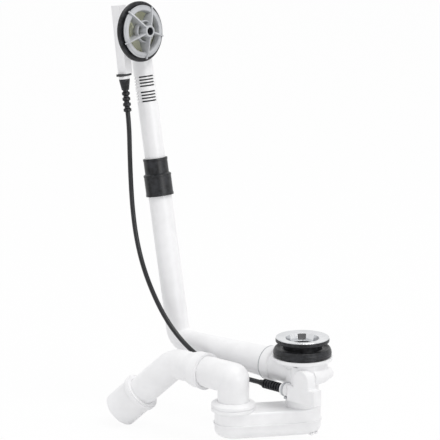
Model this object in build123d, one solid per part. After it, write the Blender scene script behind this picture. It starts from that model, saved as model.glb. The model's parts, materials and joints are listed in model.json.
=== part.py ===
from build123d import *
import math
import os

# Bath waste and overflow, millimetres, +Z up.
# The origin is on the waste axis, at the underside of the waste flange's rim.
# +X runs from the overflow towards the waste, so the overflow faces +X.

os.makedirs("parts", exist_ok=True)

# Fits
RUN_GAP = 0.3            # between pieces that move on each other
SHAFT_GAP = 0.08         # round a turning shaft
SEAT_GAP = 0.15          # between pieces pushed into one another

# Waste flange and its gasket
FLANGE_R = 35.5
FLANGE_T = 3.8
FLANGE_EDGE_R = 0.55
RIM_T = 1.2
RIM_IN_R = 31.5
RIM_FLAT_R = 34.0
DISH_IN_R = 23.6
DISH_DROP = 1.5
SKIRT_R = 23.8
SKIRT_LENGTH = 30.0
SKIRT_BORE_R = 20.0
WRENCH_SIDE_COUNT = 12
WRENCH_IN_R = 22.3
WRENCH_DEPTH = 8.5
WRENCH_DRAFT = 14.0
PLUG_SEAT_R = 16.8
PLUG_SEAT_T = 1.6
LIP_R = 35.8
LIP_T = 4.3
LIP_BEVEL = 1.0
NECK_R = 26.0
DISH_Z = -13.5
CREST_Z = -10.1
CREST_IN_R = 36.6
CREST_R = 37.8
BULGE_R = 39.0
BULGE_Z = -12.0
GASKET_H = 22.0
GASKET_FOOT_R = 37.6
GASKET_LINES_Z = (-13.4, -17.2)
GASKET_LINE_HALF = 0.8
GASKET_LINE_DEPTH = 0.6

# Waste body
COLLAR_R = 40.0
COLLAR_T = 4.5
SOCKET_WALL = 3.0
COLUMN_R = 22.0
COLUMN_WALL = 3.2
DIP_R = 20.4
DIP_WALL = 2.0
DIP_END_Z = -108.0
DECK_Z = -90.0

# Overflow pipe, stub and upright
STUB_Z = -43.0
STUB_R = 20.8
STUB_MOUTH_R = 23.0
STUB_MOUTH_LENGTH = 14.0
STUB_END_X = -58.0
SPIGOT_R = 17.6
SPIGOT_LENGTH = 20.0
SPIGOT_WALL = 2.0
SEAL_T = 1.6
SEAL_PROUD = 0.2
CORNER_X = -230.0
CORNER_BEND_R = 19.0
LEAN_DEG = 10.4
LOWER_TUBE_R = 16.0
PIPE_MOUTH_R = 21.0
TAPER_START_X = -188.0
LOWER_TUBE_TOP = 228.5

# Telescope sleeve, measured along the upright from the corner
SLEEVE_START = 201.0
SLEEVE_STEP = 231.0
SLEEVE_END = 252.8
SLEEVE_BIG_R = 18.7
SLEEVE_SMALL_R = 16.5
SLEEVE_BEAD = 0.4
SLEEVE_BAND = 3.0
SLEEVE_STEP_HALF = 1.0

# Upper tube with its slotted length
UPPER_TUBE_R = 14.0
UPPER_TUBE_WALL = 2.0
UPPER_TUBE_START = 140.0
UPPER_TUBE_DROP = 19.5   # the tube's end below the head's centre, along the upright
SLOT_START_DROP = 96.189  # the lowest slot below the head's centre
SLOT_PITCH = 4.2
SLOT_W = 2.1
SLOT_PLACE_COUNT = 9
SLOT_LAND = 4            # the place in the middle that has no slot
WEB_HALF_W = 2.4
WEB_SET_BACK = 0.15      # the webs lie a little inside the wall's faces
LINER_T = 1.4
LINER_OVERLAP = 5.0

# Overflow head: its centre, tilt and depth
HEAD_FORWARD = 26.185    # from the upright's axis
HEAD_Y = -24.0
HEAD_Z = 383.0
HEAD_TILT_DEG = 7.7
HEAD_GASKET_R = 41.0
HEAD_GASKET_T = 7.6
HEAD_GASKET_LIP_R = 36.0
HEAD_GASKET_LIP_T = 2.2
HEAD_GASKET_LIP_SLOPE = 2.0
HEAD_GASKET_BEAD = 1.0
HEAD_PLATE_R = 37.0
HEAD_PLATE_T = 2.5
DRUM_R = 30.5
DRUM_WALL = 2.2
DRUM_DEPTH = 12.0
BOSS_R = 12.0
BOSS_H = 6.0
BOSS_RING_R = 16.5
BOSS_RING_H = 2.0
PORT_NEAR = 17.5         # the drum's port into the duct, in the head's own frame
PORT_LOW = -18.0
PORT_HIGH = 2.0
PORT_BACK = -22.0
DUCT_WALL = 2.5
DUCT_TOP_DROP = 4.9      # the duct's ends below the head's centre, along the upright
DUCT_START_DROP = 31.0

# Spoked clamping flange
WHEEL_R = 36.8
WHEEL_BAND = 9.3
WHEEL_RISE = 4.2
WHEEL_T = 2.4
WHEEL_COLLAR_T = 2.0
WHEEL_EDGE = 1.0
WHEEL_LIP_W = 2.2
WHEEL_LIP_T = 1.7
WHEEL_LIP_STEP = 1.2
HUB_R = 8.0
HUB_BORE_R = 5.3
HUB_FRONT = 23.4
HUB_LENGTH = 26.5
RIB_COUNT = 5
RIB_T = 2.0
RIB_TURN_DEG = -16.0
RIB_BACK = 2.0
RIB_LAP = 0.4
RIB_SINK = 1.0
RIB_PROUD = 0.7
RIB_NUB = 1.7
NUB_ROOT = 1.0
NUB_SINK = 0.6
RIM_NOTCH_W = 5.0
RIM_NOTCH_D = 1.6

# Cable box beside the head
BOX_LEFT = -21.5
BOX_RIGHT = -9.5
BOX_BACK = -26.0
BOX_FRONT = -10.0
BOX_TOP = 38.0
BOX_BOTTOM = -55.0
BOX_WALL = 2.0
BOX_COVER_T = 2.0
CABLE_B = -16.6
CABLE_A = -19.6

# Drive spindle, pinion and rack
SPINDLE_R = 5.0
SPINDLE_FRONT = 18.0
SPINDLE_SOCKET = 5.6
SPINDLE_SOCKET_DEPTH = 12.0
TOOTH_MODULE = 1.0
PINION_TOOTH_COUNT = 10
PINION_FACE = 6.0
PINION_FRONT = -14.6
TOOTH_ADDENDUM = 0.75
TOOTH_DEDENDUM = 1.0
TOOTH_BACKLASH = 0.35
PRESSURE_DEG = 20.0
RACK_TOOTH_COUNT = 7
RACK_W = 13.0
DRIVE_TURN_DEG = 90.0
WIRE_R = 1.0
WIRE_BORE_R = 1.5

# Cable ends
FERRULE_R = 3.6
FERRULE_LENGTH = 12.0
CLIP_T = 3.2
CLIP_W = 18.0
CLIP_D = 11.0
CAP_R = 7.4
CAP_T = 4.2
CAP_ROUND = 0.8
BOOT_TOP_R = 7.3
BOOT_SKIRT = 2.0
BOOT_NECK_R = 5.0
BOOT_TAPER = 15.0
BOOT_BEAD_COUNT = 4
BOOT_BEAD_PITCH = 7.5
BOOT_BEAD_R = 5.4
BOOT_GROOVE = 1.4
GROOVE_SHARE = 0.25      # shares of a ring's pitch: groove, then ring from and to
RING_FROM = 0.4
RING_TO = 0.85
CABLE_R = 3.25
CABLE_TOP_RUN = 20.0
CABLE_LAST_RUN = 22.0
CABLE_ARC_SHARE = 0.45   # share of a run that an arc takes
CABLE_ROUTE = [
    (-284.7, -39.5, 216.0),
    (-284.5, -38.2, 178.0),
    (-282.6, -37.0, 139.0),
    (-277.0, -36.0, 100.0),
    (-265.6, -35.0, 62.0),
    (-248.0, -33.8, 27.0),
    (-225.5, -32.5, -5.0),
    (-197.5, -31.0, -31.0),
    (-166.0, -29.3, -49.0),
    (-132.0, -27.6, -59.5),
    (-100.0, -26.4, -63.4),
]

# Lever housing in front of the column
CABLE_Y = -26.0
CABLE_Z = -64.0
SHAFT_X = 30.0
SHAFT_Z = -43.5
SHAFT_R = 4.0
HOUSING_FRONT_Y = -32.0
HOUSING_BACK_Y = -17.5
HOUSING_LEFT_X = 1.5
HOUSING_RIGHT_X = 50.0
HOUSING_TOP_Z = -56.0
HOUSING_BOTTOM_Z = -77.0
HOUSING_WALL = 2.4
SHOULDER_TOP_Z = -31.0
SHOULDER_SET_BACK = 2.6
SHOULDER_LAP = 4.0
SHOULDER_ROUND = 7.0
DOME_X = 26.0
DOME_Z = -45.6
DOME_R = 13.2
COVER_T = 2.2
BARREL_R = 11.2
BARREL_END_R = 7.3
BRIDGE_LEFT_X = 18.0
BRIDGE_RIGHT_X = 36.0
BRIDGE_BACK_Y = 10.0
BARREL_STEP_Y = 4.0
BARREL_END_Y = 20.5
BARREL_ROOM_R = 8.4
BARREL_ROOM_Y = 6.0
GLAND_R = 9.0
GLAND_END_X = -9.5
GLAND_GROOVE_D = 1.2
GLAND_CLIP_T = 3.0
GLAND_CLIP_PROUD = 0.8
GLAND_TAB_W = 6.0
GLAND_TAB_H = 3.0
GLAND_TAB_ROOT = 1.4
LOWER_BOOT_END_X = -52.0
LOWER_BOOT_R = 6.4
LOWER_BOOT_GROOVE = 2.0
LOWER_BOOT_RING_COUNT = 8
LOWER_BOOT_TAPER = 6.0
LOWER_BOOT_LIP = 0.6
FINGER_T = 5.0
FINGER_W = 8.0
FINGER_REACH = 30.0
FINGER_ROUND = 2.2
FINGER_HUB_R = 6.0
ARM_T = 5.0
ARM_W = 7.0
ARM_HUB_R = 5.8
ARM_FORK = 2.5
PIN_R = 1.8
SHOE_HALF = 4.0
SHOE_ROUND = 1.5

# Trap pan and riser
RISER_X = -52.0
RISER_Y = -78.0
RISER_R = 21.0
RISER_WALL = 2.2
PAN_HALF_W = 25.0
PAN_FLOOR_Z = -126.5
PAN_WALL = 2.5
PAN_BOTTOM_ROUND = 11.0
SEAM_Z = -107.0
SEAM_LIP = 1.3
SEAM_T = 2.2
SOCKET_R = 29.5
SOCKET_TOP_Z = -79.5
SOCKET_BOTTOM_Z = -91.5
SOCKET_CONE = 5.0
SOCKET_BEAD = 1.2
SOCKET_BEAD_AT = 0.45    # share of the socket's height
SOCKET_LIP = 1.4
RISER_SEAL_W = 3.2
RISER_SEAL_T = 4.5
RISER_END_Z = -101.0
FOOT_W = 5.0
FOOT_H = 4.0
FOOT_TURNS_DEG = (-10, 15)

# Outlet elbow, bend and reducer
OUTLET_Z = -48.0
SWIVEL_X = -103.0
SWIVEL_R = 25.0
SWIVEL_T = 1.8
BEND_SOCKET_R = 24.3
BEND_SOCKET_LENGTH = 24.0
BEND_TAPER = 10.0
ELBOW_SPIGOT = 18.0
BEND_X = -161.0
BEND_R = 30.0
BEND_TURN_DEG = 45.0
BEND_ROLL_DEG = 18.0
BEND_PIPE_R = 20.3
REDUCER_START = 69.0
REDUCER_COLLAR_R = 27.0
REDUCER_COLLAR_T = 5.0
REDUCER_STEP = 2.0
REDUCER_SPIGOT_R = 25.0
REDUCER_WALL = 2.5
REDUCER_EDGE = 1.0
REDUCER_END = 114.0
REDUCER_INSET = 16.0
REDUCER_CONE = 6.0
REDUCER_SEAL_T = 1.4
REDUCER_SEAL_IN = 1.6

# Directions and frames that follow from the sizes above
lean = math.radians(LEAN_DEG)
UPRIGHT_DIR = Vector(-math.sin(lean), 0, math.cos(lean))
CORNER = Vector(CORNER_X, 0, STUB_Z)
HEAD_X = CORNER_X - (HEAD_Z - STUB_Z) * math.tan(lean) + HEAD_FORWARD
HEAD_UP = (HEAD_Z - STUB_Z) * math.cos(lean) - (HEAD_X - CORNER_X) * math.sin(lean)
UPPER_TUBE_END = HEAD_UP - UPPER_TUBE_DROP
DUCT_TOP = HEAD_UP - DUCT_TOP_DROP
DUCT_START = HEAD_UP - DUCT_START_DROP
SLOT_START = HEAD_UP - SLOT_START_DROP
SLOTS = [SLOT_START + place * SLOT_PITCH for place in range(SLOT_PLACE_COUNT) if place != SLOT_LAND]
tilt = math.radians(HEAD_TILT_DEG)
HEAD_N = Vector(math.cos(tilt), 0, math.sin(tilt))
HEAD_H = Vector(-math.sin(tilt), 0, math.cos(tilt))
HEAD = Plane(origin=(HEAD_X, HEAD_Y, HEAD_Z), x_dir=(0, 1, 0), z_dir=HEAD_N)
UPRIGHT = Plane(origin=CORNER, x_dir=(0, 1, 0), z_dir=UPRIGHT_DIR)
ALONG_X = Plane(origin=(0, 0, STUB_Z), x_dir=(0, 1, 0), z_dir=(1, 0, 0))
RISER = Plane(origin=(RISER_X, RISER_Y, 0))
OUTLET = Plane(origin=(0, RISER_Y, OUTLET_Z), x_dir=(0, 1, 0), z_dir=(1, 0, 0))
SHAFT = Plane(origin=(SHAFT_X, 0, SHAFT_Z), x_dir=(1, 0, 0), z_dir=(0, 1, 0))
CABLE_END = Plane(origin=(0, CABLE_Y, CABLE_Z), x_dir=(0, 1, 0), z_dir=(1, 0, 0))
CABLE_TOP = Plane(HEAD * Location(Plane(origin=(CABLE_B, 0, CABLE_A), x_dir=(1, 0, 0), z_dir=(0, 1, 0))))
turn = math.radians(BEND_TURN_DEG)
roll = math.radians(BEND_ROLL_DEG)
TAIL_DIR = Vector(
    -math.cos(turn),
    -math.sin(turn) * math.sin(roll),
    -math.sin(turn) * math.cos(roll),
)
BEND_CORNER = Vector(BEND_X, RISER_Y, OUTLET_Z)
TAIL = Plane(origin=BEND_CORNER, z_dir=TAIL_DIR)
PINION_R = TOOTH_MODULE * PINION_TOOTH_COUNT / 2
RACK_TRAVEL = PINION_R * math.radians(DRIVE_TURN_DEG)
RACK_PITCH = math.pi * TOOTH_MODULE
RACK_MIDDLE = -round(RACK_TRAVEL / RACK_PITCH / 2) * RACK_PITCH
RACK_LOW = RACK_MIDDLE - RACK_TOOTH_COUNT / 2 * RACK_PITCH
RACK_HIGH = RACK_MIDDLE + RACK_TOOTH_COUNT / 2 * RACK_PITCH
ARM_REACH = SHAFT_Z - CABLE_Z
LEVER_HALF = math.asin(RACK_TRAVEL / 2 / ARM_REACH)


def turned(outline, place):
    """Solid turned from (radius, height) points about the place's own Z axis."""
    face = Plane.XZ * make_face(Polyline(*outline, close=True))
    return place * revolve(face, Axis.Z)


def rod(place, radius, low, high):
    """Round bar between two heights of a place."""
    return place * Pos(0, 0, low) * extrude(Circle(radius), high - low)


def ring(place, outer, inner, low, high):
    """Flat-sided ring between two heights of a place."""
    return rod(place, outer, low, high) - rod(place, inner, low, high)


def block(x0, x1, y0, y1, z0, z1):
    """Box between two corners."""
    box = Box(x1 - x0, y1 - y0, z1 - z0, align=(Align.MIN, Align.MIN, Align.MIN))
    return Pos(x0, y0, z0) * box


def bent(radius, path):
    """Round bar swept along a path from its start."""
    start = Plane(origin=path @ 0, z_dir=path % 0)
    return sweep(start * Circle(radius), path=path)


def waste_flange():
    """Dished flange on a skirt, with a many-sided funnel mouth down to the plug's seat."""
    rim_low = FLANGE_T - RIM_T
    mouth_z = FLANGE_T - DISH_DROP
    seat_low = mouth_z - WRENCH_DEPTH - PLUG_SEAT_T
    body = turned(
        [
            (SKIRT_BORE_R, -SKIRT_LENGTH),
            (SKIRT_R, -SKIRT_LENGTH),
            (SKIRT_R, 0),
            (RIM_IN_R, 0),
            (RIM_IN_R, rim_low),
            (FLANGE_R, rim_low),
            (FLANGE_R, FLANGE_T),
            (RIM_FLAT_R, FLANGE_T),
            (DISH_IN_R, mouth_z),
            (PLUG_SEAT_R, mouth_z),
            (PLUG_SEAT_R, seat_low),
            (SKIRT_BORE_R, seat_low),
        ],
        Plane.XY,
    )
    rim = body.edges().filter_by(GeomType.CIRCLE).group_by(Axis.Z)[-1].sort_by(SortBy.RADIUS)[-1]
    body = fillet(rim, FLANGE_EDGE_R)
    wrench = RegularPolygon(WRENCH_IN_R, WRENCH_SIDE_COUNT, major_radius=False)
    mouth = extrude(wrench, WRENCH_DEPTH, dir=(0, 0, -1), taper=WRENCH_DRAFT)
    return body - Pos(0, 0, mouth_z) * mouth


def waste_gasket():
    """Profiled gasket: lip under the flange, dished groove, and a skirt with two fine lines."""
    inner = SKIRT_R + RUN_GAP
    rim_r = RIM_IN_R + SEAT_GAP
    outline = [
        (inner, 0),
        (rim_r, 0),
        (rim_r, FLANGE_T - RIM_T),
        (LIP_R, FLANGE_T - RIM_T),
        (LIP_R, LIP_BEVEL - LIP_T),
        (LIP_R - LIP_BEVEL, -LIP_T),
        (NECK_R, -LIP_T),
        (NECK_R, DISH_Z),
        (CREST_IN_R, CREST_Z),
        (CREST_R, CREST_Z),
        (BULGE_R, BULGE_Z),
    ]
    for line_z in GASKET_LINES_Z:
        outline += [
            (BULGE_R, line_z + GASKET_LINE_HALF),
            (BULGE_R - GASKET_LINE_DEPTH, line_z),
            (BULGE_R, line_z - GASKET_LINE_HALF),
        ]
    outline += [(GASKET_FOOT_R, -GASKET_H), (inner, -GASKET_H)]
    return turned(outline, Plane.XY)


def dome_outline(grow):
    """Front outline of the lever housing, grown outwards, as a face in X and Z."""
    left = HOUSING_LEFT_X - grow
    right = HOUSING_RIGHT_X + grow
    top = HOUSING_TOP_Z + grow
    bottom = HOUSING_BOTTOM_Z - grow
    radius = DOME_R + grow
    low = Pos((left + right) / 2, (top + bottom) / 2) * Rectangle(right - left, top - bottom)
    arch = Pos(DOME_X, DOME_Z) * Circle(radius)
    post = Pos(DOME_X, (DOME_Z + bottom) / 2) * Rectangle(2 * radius, DOME_Z - bottom)
    return low + arch + post


def front_slab(grow, y0, y1):
    """The housing's front outline made solid between two places in Y."""
    face = Plane(origin=(0, y0, 0), x_dir=(1, 0, 0), z_dir=(0, -1, 0)) * dome_outline(grow)
    return extrude(face, y1 - y0, dir=(0, 1, 0))


def waste_body():
    collar_low = -GASKET_H - COLLAR_T
    socket_r = SKIRT_R + RUN_GAP
    socket_low = -SKIRT_LENGTH - RUN_GAP
    shoulder_r = socket_r + SOCKET_WALL
    bowl_low = socket_low - (shoulder_r - COLUMN_R) - SOCKET_WALL
    outside = turned(
        [
            (0, -GASKET_H),
            (COLLAR_R, -GASKET_H),
            (COLLAR_R, collar_low),
            (shoulder_r, collar_low - COLLAR_T),
            (shoulder_r, socket_low - SOCKET_WALL),
            (COLUMN_R, bowl_low),
            (COLUMN_R, DECK_Z),
            (DIP_R, DECK_Z),
            (DIP_R, DIP_END_Z),
            (0, DIP_END_Z),
        ],
        Plane.XY,
    )
    mouth_start = STUB_END_X + STUB_MOUTH_LENGTH
    stub = turned(
        [
            (0, 0),
            (STUB_R, 0),
            (STUB_R, mouth_start),
            (STUB_MOUTH_R, mouth_start - (STUB_MOUTH_R - STUB_R)),
            (STUB_MOUTH_R, STUB_END_X),
            (0, STUB_END_X),
        ],
        ALONG_X,
    )
    barrel = turned(
        [
            (0, HOUSING_BACK_Y),
            (BARREL_R, HOUSING_BACK_Y),
            (BARREL_R, BARREL_STEP_Y),
            (BARREL_END_R, BARREL_END_Y),
            (0, BARREL_END_Y),
        ],
        SHAFT,
    )
    housing = front_slab(0, HOUSING_FRONT_Y + COVER_T, HOUSING_BACK_Y)
    shoulder = block(
        HOUSING_LEFT_X, DOME_X - DOME_R + SHOULDER_LAP,
        HOUSING_FRONT_Y + COVER_T + SHOULDER_SET_BACK, 0,
        HOUSING_TOP_Z, SHOULDER_TOP_Z,
    )
    shoulder = fillet(shoulder.edges().filter_by(Axis.Z).group_by(Axis.Y)[0].sort_by(Axis.X)[0], SHOULDER_ROUND)
    gland = rod(CABLE_END, GLAND_R, GLAND_END_X, HOUSING_LEFT_X)
    bridge = block(BRIDGE_LEFT_X, BRIDGE_RIGHT_X, HOUSING_BACK_Y, BRIDGE_BACK_Y, SHAFT_Z, collar_low)
    body = outside + stub + barrel + housing + shoulder + bridge + gland

    # Water way: threaded socket, column bore, stub bore
    bore_r = COLUMN_R - COLUMN_WALL
    body -= rod(Plane.XY, socket_r, socket_low, -GASKET_H)
    body -= rod(Plane.XY, bore_r, DECK_Z, socket_low)
    body -= rod(Plane.XY, DIP_R - DIP_WALL, DIP_END_Z, DECK_Z)
    stub_bore = SPIGOT_R + SEAT_GAP
    body -= rod(ALONG_X, stub_bore, STUB_END_X, -bore_r / 2)

    # Lever chamber, shaft bore, room for the finger, and the cable's way in
    body -= front_slab(-HOUSING_WALL, HOUSING_FRONT_Y + COVER_T, HOUSING_BACK_Y - HOUSING_WALL)
    shaft_end = BARREL_END_Y - HOUSING_WALL
    body -= rod(SHAFT, SHAFT_R + SHAFT_GAP, HOUSING_BACK_Y - HOUSING_WALL, shaft_end)
    room = rod(SHAFT, BARREL_ROOM_R, -BARREL_ROOM_Y, BARREL_ROOM_Y)
    window = block(0, SHAFT_X, -BARREL_ROOM_Y, BARREL_ROOM_Y, SHAFT_Z - BARREL_ROOM_R, SHAFT_Z + BARREL_ROOM_R)
    body -= room + (window & rod(Plane.XY, SHAFT_X, SHAFT_Z - BARREL_ROOM_R, SHAFT_Z + BARREL_ROOM_R))
    body -= rod(CABLE_END, FERRULE_R + SEAT_GAP, GLAND_END_X, HOUSING_LEFT_X + HOUSING_WALL)
    groove_x = GLAND_END_X + GLAND_CLIP_T
    body -= ring(CABLE_END, GLAND_R, GLAND_R - GLAND_GROOVE_D, groove_x, groove_x + GLAND_CLIP_T)
    return body


def lever_cover():
    """Front plate of the lever housing, with a rim that locates it in the chamber."""
    plate = front_slab(0, HOUSING_FRONT_Y, HOUSING_FRONT_Y + COVER_T)
    plate = chamfer(plate.faces().sort_by(Axis.Y)[0].edges(), COVER_T / 3)
    inset = HOUSING_WALL + SEAT_GAP
    rim_y = HOUSING_FRONT_Y + COVER_T
    rim = front_slab(-inset, rim_y, rim_y + COVER_T / 2)
    rim -= front_slab(-inset - COVER_T / 2, rim_y, rim_y + COVER_T / 2)
    return plate + rim


def lift_lever():
    """Shaft across the waste with the finger that lifts the plug; down at rest."""
    start = HOUSING_BACK_Y - HOUSING_WALL - ARM_T
    shaft = rod(SHAFT, SHAFT_R, start, BARREL_END_Y - HOUSING_WALL - RUN_GAP)
    finger = block(-FINGER_REACH, 0, -FINGER_W / 2, FINGER_W / 2, -FINGER_T / 2, FINGER_T / 2)
    finger = fillet(finger.edges().filter_by(Axis.Y).group_by(Axis.X)[0], FINGER_ROUND)
    hub = Plane.XZ * Circle(FINGER_HUB_R)
    finger += Pos(0, FINGER_W / 2, 0) * extrude(hub, FINGER_W)
    place = Pos(SHAFT_X, 0, SHAFT_Z) * Rot(0, -math.degrees(LEVER_HALF), 0)
    return shaft + place * finger


def crank_arm():
    """Arm on the shaft's front end, forked round the slider's pin."""
    y1 = HOUSING_BACK_Y - HOUSING_WALL - RUN_GAP
    tip = -ARM_REACH - PIN_R - ARM_FORK
    arm = block(-ARM_W / 2, ARM_W / 2, 0, ARM_T, tip, 0)
    arm += Pos(0, ARM_T, 0) * extrude(Plane.XZ * Circle(ARM_HUB_R), ARM_T)
    slot_w = PIN_R + RUN_GAP
    arm -= block(-slot_w, slot_w, 0, ARM_T, tip, -ARM_REACH + PIN_R + ARM_FORK)
    arm -= Pos(0, ARM_T, 0) * extrude(Plane.XZ * Circle(SHAFT_R + SEAT_GAP), ARM_T)
    place = Pos(SHAFT_X, y1 - ARM_T, SHAFT_Z) * Rot(0, -math.degrees(LEVER_HALF), 0)
    return place * arm


def wire_slider():
    """Shoe on the cable's wire, with the pin that works the crank arm."""
    pin_x = SHAFT_X + RACK_TRAVEL / 2
    front = HOUSING_FRONT_Y + COVER_T + COVER_T / 2 + RUN_GAP
    arm_front = HOUSING_BACK_Y - HOUSING_WALL - RUN_GAP - ARM_T
    shoe_back = arm_front - RUN_GAP
    tail_x = pin_x - 3 * SHOE_HALF
    shoe = block(
        tail_x, pin_x + SHOE_HALF, front, shoe_back,
        CABLE_Z - SHOE_HALF, CABLE_Z + SHOE_HALF,
    )
    shoe = fillet(shoe.edges().filter_by(Axis.Y), SHOE_ROUND)
    pin_place = Plane(origin=(pin_x, 0, CABLE_Z), x_dir=(1, 0, 0), z_dir=(0, 1, 0))
    pin = rod(pin_place, PIN_R, shoe_back, shoe_back + ARM_T)
    wire_low = GLAND_END_X + FERRULE_LENGTH / 4 + RACK_TRAVEL
    wire = rod(CABLE_END, WIRE_R, wire_low, tail_x)
    return shoe + pin + wire


def lower_ferrule():
    end = HOUSING_LEFT_X + HOUSING_WALL
    return ring(CABLE_END, FERRULE_R, WIRE_BORE_R, GLAND_END_X, end)


def ringed(place, radius, root, low, high, rings):
    """Rubber sleeve with evenly spaced rings, as a turned outline."""
    pitch = (high - low) / rings
    outline = [(0, low)]
    for i in range(rings):
        z = low + i * pitch
        outline += [
            (root, z),
            (root, z + GROOVE_SHARE * pitch),
            (radius, z + RING_FROM * pitch),
            (radius, z + RING_TO * pitch),
        ]
    outline += [(root, high), (0, high)]
    return turned(outline, place)


def lower_boot():
    root = LOWER_BOOT_R - LOWER_BOOT_GROOVE
    nose_end = LOWER_BOOT_END_X + LOWER_BOOT_TAPER
    sleeve = ringed(CABLE_END, LOWER_BOOT_R, root, nose_end, GLAND_END_X, LOWER_BOOT_RING_COUNT)
    nose = turned(
        [
            (0, LOWER_BOOT_END_X),
            (CABLE_R + LOWER_BOOT_LIP, LOWER_BOOT_END_X),
            (root, nose_end),
            (0, nose_end),
        ],
        CABLE_END,
    )
    return sleeve + nose


def gland_clip():
    """Spring clip in the gland's groove, open at the back, with a tab below."""
    groove_x = GLAND_END_X + GLAND_CLIP_T + SEAT_GAP
    width = GLAND_CLIP_T - 2 * SEAT_GAP
    inner = GLAND_R - GLAND_GROOVE_D + SEAT_GAP
    outer = GLAND_R + GLAND_CLIP_PROUD
    clip = ring(CABLE_END, outer, inner, groove_x, groove_x + width)
    low = CABLE_Z - outer
    clip -= block(groove_x, groove_x + width, CABLE_Y + inner / 2, CABLE_Y + outer, low, CABLE_Z + outer)
    tab_y = CABLE_Y - GLAND_TAB_W / 2
    tab = block(groove_x, groove_x + width, tab_y, tab_y + GLAND_TAB_W, low - GLAND_TAB_H, low + GLAND_TAB_ROOT)
    clip += tab
    return clip


def pan_outline(half_w):
    """Long pan outline from the column to the riser, as a face in X and Y."""
    length = math.hypot(RISER_X, RISER_Y)
    angle = math.degrees(math.atan2(RISER_Y, RISER_X))
    return Rot(0, 0, angle) * Pos(length / 2, 0) * SlotCenterToCenter(length, 2 * half_w)


def pan_slab(half_w, low, high):
    return Pos(0, 0, low) * extrude(pan_outline(half_w), high - low)


def trap_pan():
    """Lower half of the trap: an open bowl with a welding lip."""
    bowl = pan_slab(PAN_HALF_W, PAN_FLOOR_Z, SEAM_Z)
    bowl = fillet(bowl.faces().sort_by(Axis.Z)[0].edges(), PAN_BOTTOM_ROUND)
    room = pan_slab(PAN_HALF_W - PAN_WALL, PAN_FLOOR_Z + PAN_WALL, SEAM_Z)
    room = fillet(room.faces().sort_by(Axis.Z)[0].edges(), PAN_BOTTOM_ROUND - PAN_WALL)
    bowl -= room
    bowl += pan_slab(PAN_HALF_W + SEAM_LIP, SEAM_Z - SEAM_T, SEAM_Z) - pan_slab(
        PAN_HALF_W - PAN_WALL, SEAM_Z - SEAM_T, SEAM_Z
    )
    for angle in FOOT_TURNS_DEG:
        foot_x = (PAN_HALF_W - FOOT_W) * math.cos(math.radians(angle))
        foot_y = (PAN_HALF_W - FOOT_W) * math.sin(math.radians(angle))
        foot = Pos(foot_x, foot_y, PAN_FLOOR_Z) * Rot(0, 0, angle)
        foot *= extrude(Rectangle(FOOT_W, FOOT_W), FOOT_H + PAN_WALL)
        bowl += foot - pan_slab(PAN_HALF_W - PAN_WALL, PAN_FLOOR_Z + PAN_WALL, SEAM_Z)
    return bowl


def trap_deck():
    """Upper half of the trap: deck, column seat and the riser's socket."""
    deck = pan_slab(PAN_HALF_W, SEAM_Z, DECK_Z)
    deck = fillet(deck.faces().sort_by(Axis.Z)[-1].edges(), PAN_WALL)
    deck -= pan_slab(PAN_HALF_W - PAN_WALL, SEAM_Z, DECK_Z - PAN_WALL)
    bead_low = SOCKET_BOTTOM_Z + (SOCKET_TOP_Z - SOCKET_BOTTOM_Z) * SOCKET_BEAD_AT
    socket = turned(
        [
            (0, SOCKET_BOTTOM_Z),
            (SOCKET_R - SOCKET_BEAD, SOCKET_BOTTOM_Z),
            (SOCKET_R, SOCKET_BOTTOM_Z + SOCKET_BEAD),
            (SOCKET_R, bead_low - SOCKET_BEAD),
            (SOCKET_R - SOCKET_BEAD, bead_low),
            (SOCKET_R, bead_low + SOCKET_BEAD),
            (SOCKET_R, SOCKET_TOP_Z - SOCKET_CONE / 2),
            (SOCKET_R - SOCKET_BEAD, SOCKET_TOP_Z - SOCKET_BEAD),
            (RISER_R + RUN_GAP + SOCKET_LIP, SOCKET_TOP_Z + SOCKET_BEAD),
            (0, SOCKET_TOP_Z + SOCKET_BEAD),
        ],
        RISER,
    )
    deck += socket
    deck -= rod(RISER, RISER_R + RUN_GAP, SEAM_Z, SOCKET_TOP_Z + SOCKET_BEAD)
    seal_low = SOCKET_BOTTOM_Z + PAN_WALL
    deck -= rod(RISER, RISER_R + RUN_GAP + RISER_SEAL_W, seal_low, seal_low + RISER_SEAL_T)
    return deck - rod(Plane.XY, DIP_R + SEAT_GAP, SEAM_Z, DECK_Z)


def riser_seal():
    low = SOCKET_BOTTOM_Z + PAN_WALL + SEAT_GAP
    outer = RISER_R + RUN_GAP + RISER_SEAL_W - SEAT_GAP
    return ring(RISER, outer, RISER_R + RUN_GAP, low, low + RISER_SEAL_T - 2 * SEAT_GAP)


def elbow_bar(radius):
    """Riser and outlet run as round bars that meet in a ball at the corner."""
    riser = rod(RISER, radius, RISER_END_Z, OUTLET_Z)
    run = rod(OUTLET, radius, SWIVEL_X - ELBOW_SPIGOT, RISER_X)
    return riser + run + Pos(RISER_X, RISER_Y, OUTLET_Z) * Sphere(radius)


def outlet_elbow():
    """Riser, tight right-angle corner and the spigot that the outlet bend turns on."""
    return elbow_bar(RISER_R) - elbow_bar(RISER_R - RISER_WALL)


def swivel_ring():
    """Seal ring on the bend's mouth; the elbow turns in it."""
    return ring(OUTLET, SWIVEL_R, RISER_R + RUN_GAP, SWIVEL_X, SWIVEL_X + SWIVEL_T)


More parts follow.
